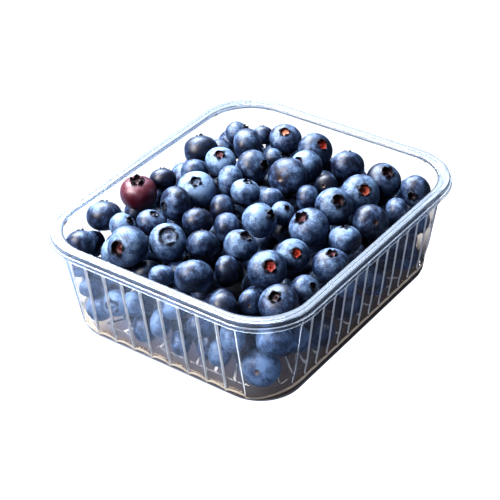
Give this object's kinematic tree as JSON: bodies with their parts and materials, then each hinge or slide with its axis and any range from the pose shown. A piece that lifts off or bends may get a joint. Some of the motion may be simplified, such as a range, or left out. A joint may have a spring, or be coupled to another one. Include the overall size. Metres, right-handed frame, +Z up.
{
  "type": "punnet of blueberries",
  "caption": "Clear rectangular thermoformed punnet with a stepped rim, fluted walls and a raised floor, heaped with blueberries.",
  "frame": {"origin": "centre of the footprint at the height of the foot rail the punnet stands on", "axes": "+Z up, +Y along the long way of the punnet, +X along its short way"},
  "size_m": [0.1216, 0.1414, 0.0565],
  "materials": {
    "clear_plastic": "clear, glossy",
    "blueberry_skin": "waxy skin with pale blue bloom"
  },
  "bodies": {
    "root": {"punnet": "clear_plastic", "berry_heap": "blueberry_skin"}
  },
  "joints": []
}
